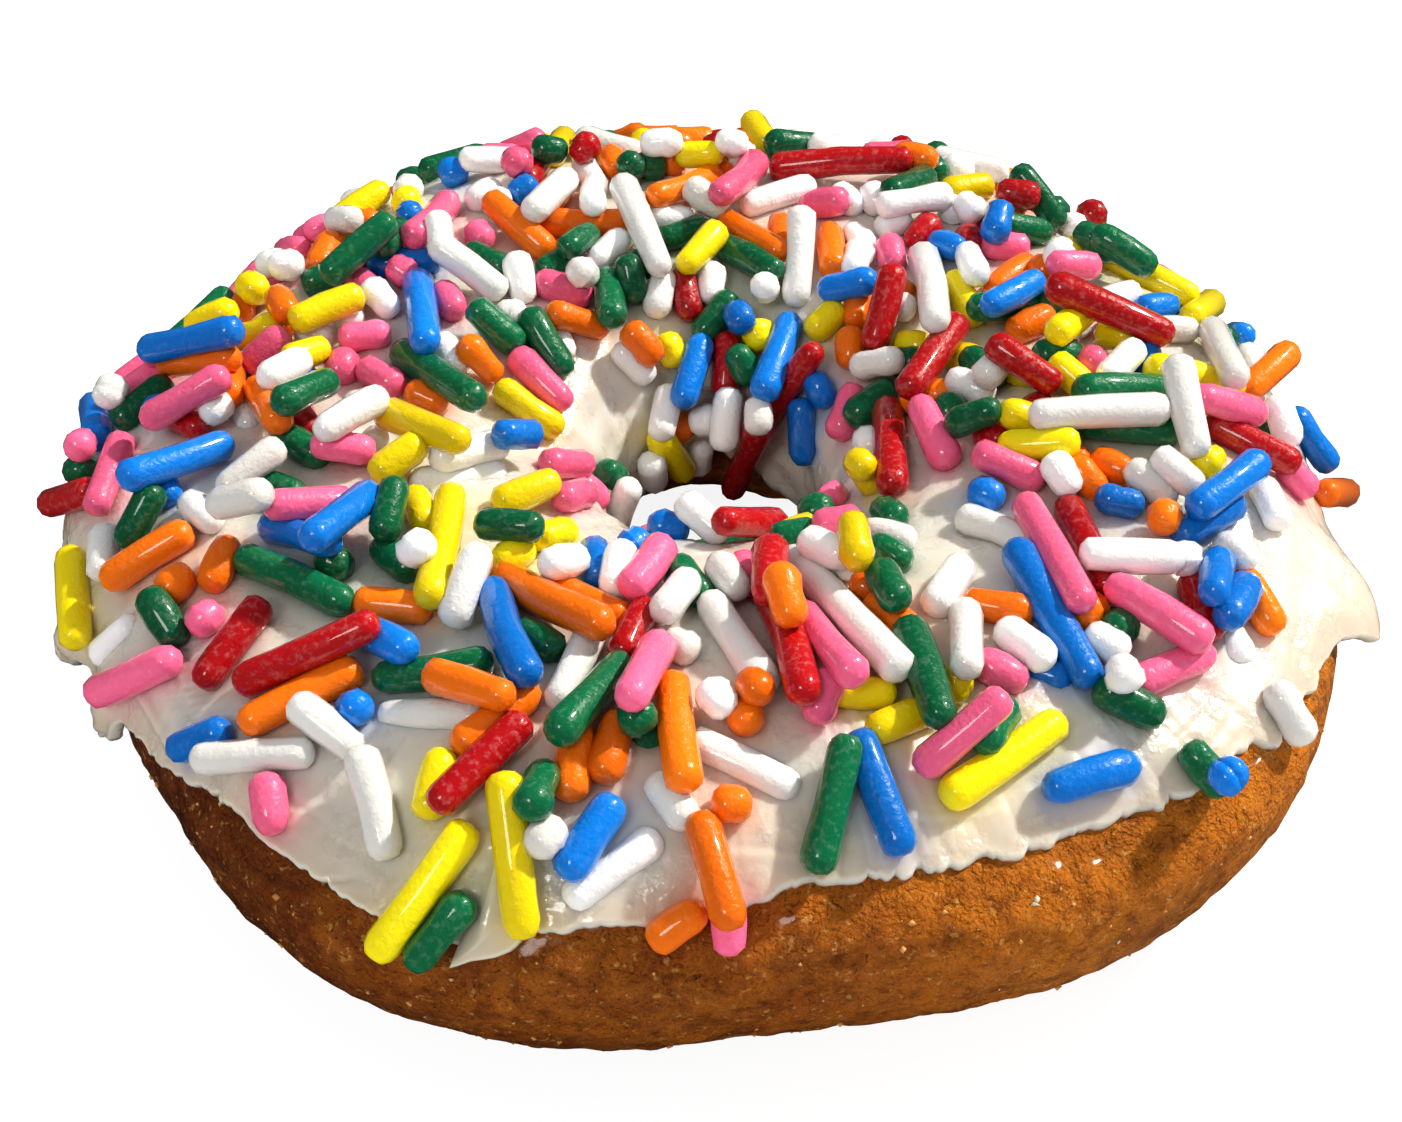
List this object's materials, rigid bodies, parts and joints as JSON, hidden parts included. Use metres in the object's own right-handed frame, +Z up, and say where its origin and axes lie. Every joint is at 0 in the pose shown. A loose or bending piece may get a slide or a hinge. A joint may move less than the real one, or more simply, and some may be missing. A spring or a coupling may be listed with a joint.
{
  "type": "sprinkle frosted doughnut",
  "caption": "Ring doughnut with a browned crust, a flat base and spread white icing with a torn edge, under many coloured rod sprinkles.",
  "frame": {"origin": "middle of the whole box, on the flat base", "axes": "+Z up through the hole; -Y is the near side, where the icing leaves most of the crust bare"},
  "size_m": [0.0816, 0.0758, 0.0203],
  "materials": {
    "crust": "browned fried dough, slightly oily",
    "icing": "moist white sugar icing, slightly translucent",
    "sprinkle_red": "waxy sugar rod with a soft gloss, red",
    "sprinkle_orange": "waxy sugar rod with a soft gloss, orange",
    "sprinkle_yellow": "waxy sugar rod with a soft gloss, yellow",
    "sprinkle_green": "waxy sugar rod with a soft gloss, green",
    "sprinkle_blue": "waxy sugar rod with a soft gloss, blue",
    "sprinkle_pink": "waxy sugar rod with a soft gloss, pink",
    "sprinkle_white": "waxy sugar rod with a soft gloss, white",
    "sugar": "coarse sugar flakes"
  },
  "bodies": {
    "root": {"dough": "crust", "icing": "icing"}
  },
  "joints": []
}
